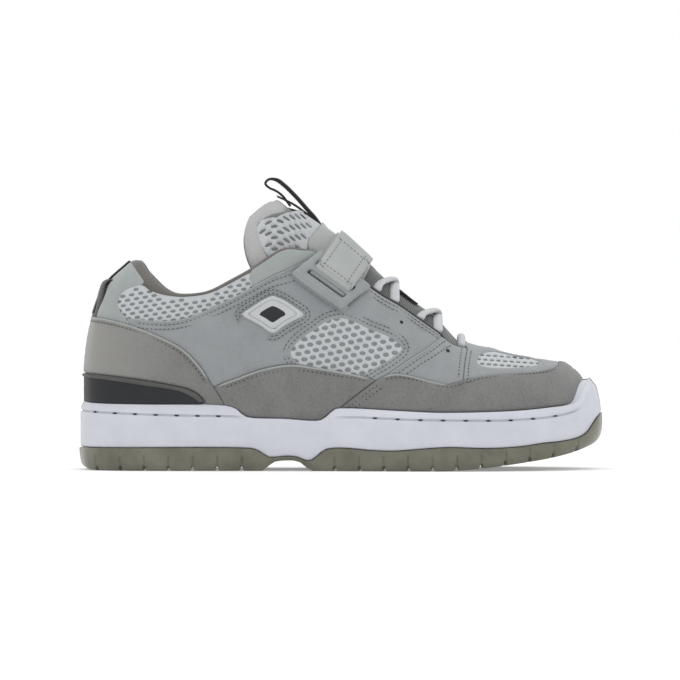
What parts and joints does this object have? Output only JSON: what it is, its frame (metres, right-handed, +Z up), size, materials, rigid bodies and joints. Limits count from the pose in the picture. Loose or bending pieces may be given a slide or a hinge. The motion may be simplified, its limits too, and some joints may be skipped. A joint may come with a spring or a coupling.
{
  "type": "skateboarding shoe",
  "caption": "Low skateboarding shoe for the right foot: cup sole with notched gum outsole, padded collar and tongue, suede and mesh panels, laces, strap and ring.",
  "frame": {"origin": "on the floor, under the middle of the heel rest", "axes": "+X to the toe, +Y to the inner (medial) side, +Z up"},
  "size_m": [0.3015, 0.1118, 0.1682],
  "materials": {
    "gum_rubber": "matt",
    "white_rubber": "matt",
    "knit_lining": "matt",
    "spacer_mesh": "matt",
    "suede": "matt",
    "nubuck": "matt",
    "pale_nubuck": "matt",
    "charcoal_trim": "matt",
    "tongue_fabric": "matt",
    "strap_webbing": "matt",
    "ring_plastic": "satin",
    "black_webbing": "matt",
    "lace_cord": "matt"
  },
  "bodies": {
    "root": {"outsole": "gum_rubber", "midsole": "white_rubber", "insole": "knit_lining", "upper": "spacer_mesh", "collar_lining": "knit_lining", "heel_counter": "suede", "heel_insert": "charcoal_trim", "heel_panel": "pale_nubuck", "toe_wrap": "suede", "vamp": "nubuck", "side_badge": "ring_plastic", "tongue": "tongue_fabric", "strap": "strap_webbing", "strap_ring": "ring_plastic", "heel_tab": "black_webbing", "tongue_loop": "black_webbing", "lace_keeper": "black_webbing", "lace_bar": "lace_cord", "lace_crossing_lower": "lace_cord", "lace_crossing_upper": "lace_cord", "side_panel_lateral": "suede", "quarter_lateral": "nubuck", "fore_stay_lateral": "pale_nubuck", "ankle_panel_lateral": "pale_nubuck", "side_panel_medial": "suede", "quarter_medial": "nubuck", "fore_stay_medial": "pale_nubuck", "ankle_panel_medial": "pale_nubuck"}
  },
  "joints": []
}
